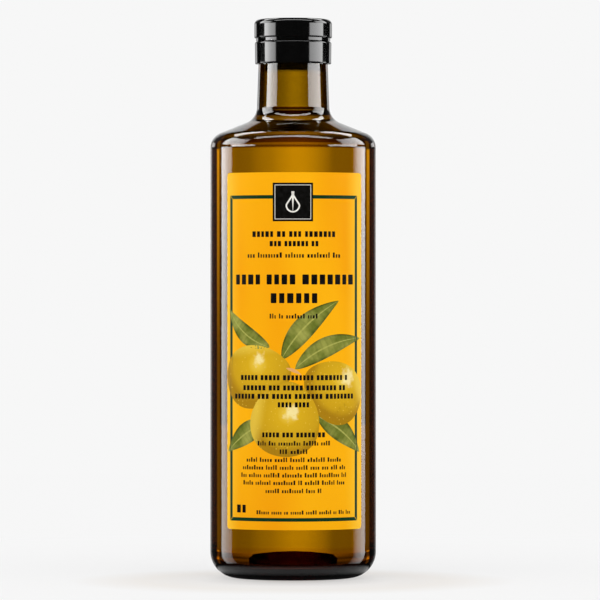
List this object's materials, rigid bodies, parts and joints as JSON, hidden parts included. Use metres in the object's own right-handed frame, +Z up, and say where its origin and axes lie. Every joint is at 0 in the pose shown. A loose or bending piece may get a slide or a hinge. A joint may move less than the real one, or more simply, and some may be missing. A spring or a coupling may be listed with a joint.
{
  "type": "olive oil bottle",
  "caption": "Round brown glass bottle filled with olive oil, with a black two-part screw closure and a tall orange front label printed with olives.",
  "frame": {"origin": "centre of the foot, on the plane that the bottle stands on", "axes": "+Z up along the bottle's axis, -Y out of the label's front, +X to the right as the label is read"},
  "size_m": [0.0828, 0.0829, 0.2788],
  "materials": {
    "brown_glass": "clear",
    "olive_oil": "clear liquid",
    "black_insert": "satin moulded",
    "black_closure": "gloss",
    "printed_label": "satin printed paper"
  },
  "bodies": {
    "root": {"glass_bottle": "brown_glass", "oil": "olive_oil", "pour_insert": "black_insert", "tamper_band": "black_closure", "screw_cap": "black_closure", "label": "printed_label"}
  },
  "joints": []
}
